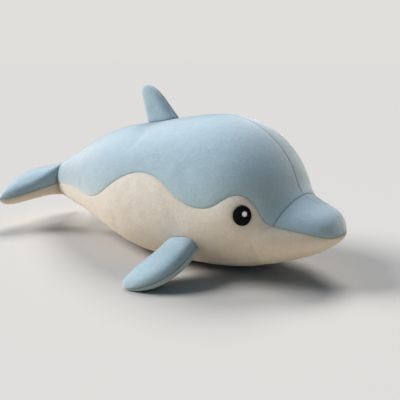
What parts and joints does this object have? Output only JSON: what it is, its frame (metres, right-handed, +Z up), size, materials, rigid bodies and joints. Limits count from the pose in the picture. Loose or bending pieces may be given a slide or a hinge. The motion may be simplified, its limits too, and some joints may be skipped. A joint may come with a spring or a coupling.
{
  "type": "plush dolphin",
  "caption": "Stuffed plush dolphin lying on its belly, with a wavy seam between blue back and cream belly, a back fin, flippers, tail fluke and round black eyes.",
  "frame": {"origin": "bottom centre of the box round the whole toy, on the surface that it lies on", "axes": "+X from the tail to the beak, +Y to the toy's left, +Z up"},
  "size_m": [0.4318, 0.2476, 0.1832],
  "materials": {
    "blue_plush": "short-pile plush, matte with a pale fuzzy rim",
    "cream_plush": "short-pile plush, matte with a pale fuzzy rim",
    "black_felt": "dense matte felt",
    "white_thread": "satin stitch",
    "stuffing_fibre": "loose white fibre"
  },
  "bodies": {
    "root": {"back_panel_left": "blue_plush", "back_panel_right": "blue_plush", "beak_panel_left": "blue_plush", "beak_panel_right": "blue_plush", "belly_panel": "cream_plush", "body_stuffing": "stuffing_fibre", "dorsal_fin_panel_left": "blue_plush", "dorsal_fin_panel_right": "blue_plush", "dorsal_fin_stuffing": "stuffing_fibre", "flipper_upper_panel_left": "blue_plush", "flipper_lower_panel_left": "blue_plush", "flipper_stuffing_left": "stuffing_fibre", "flipper_upper_panel_right": "blue_plush", "flipper_lower_panel_right": "blue_plush", "flipper_stuffing_right": "stuffing_fibre", "fluke_panel_upper": "blue_plush", "fluke_panel_lower": "cream_plush", "fluke_stuffing": "stuffing_fibre", "eye_left": "black_felt", "eye_right": "black_felt", "eye_glint_left": "white_thread", "eye_glint_right": "white_thread"}
  },
  "joints": []
}
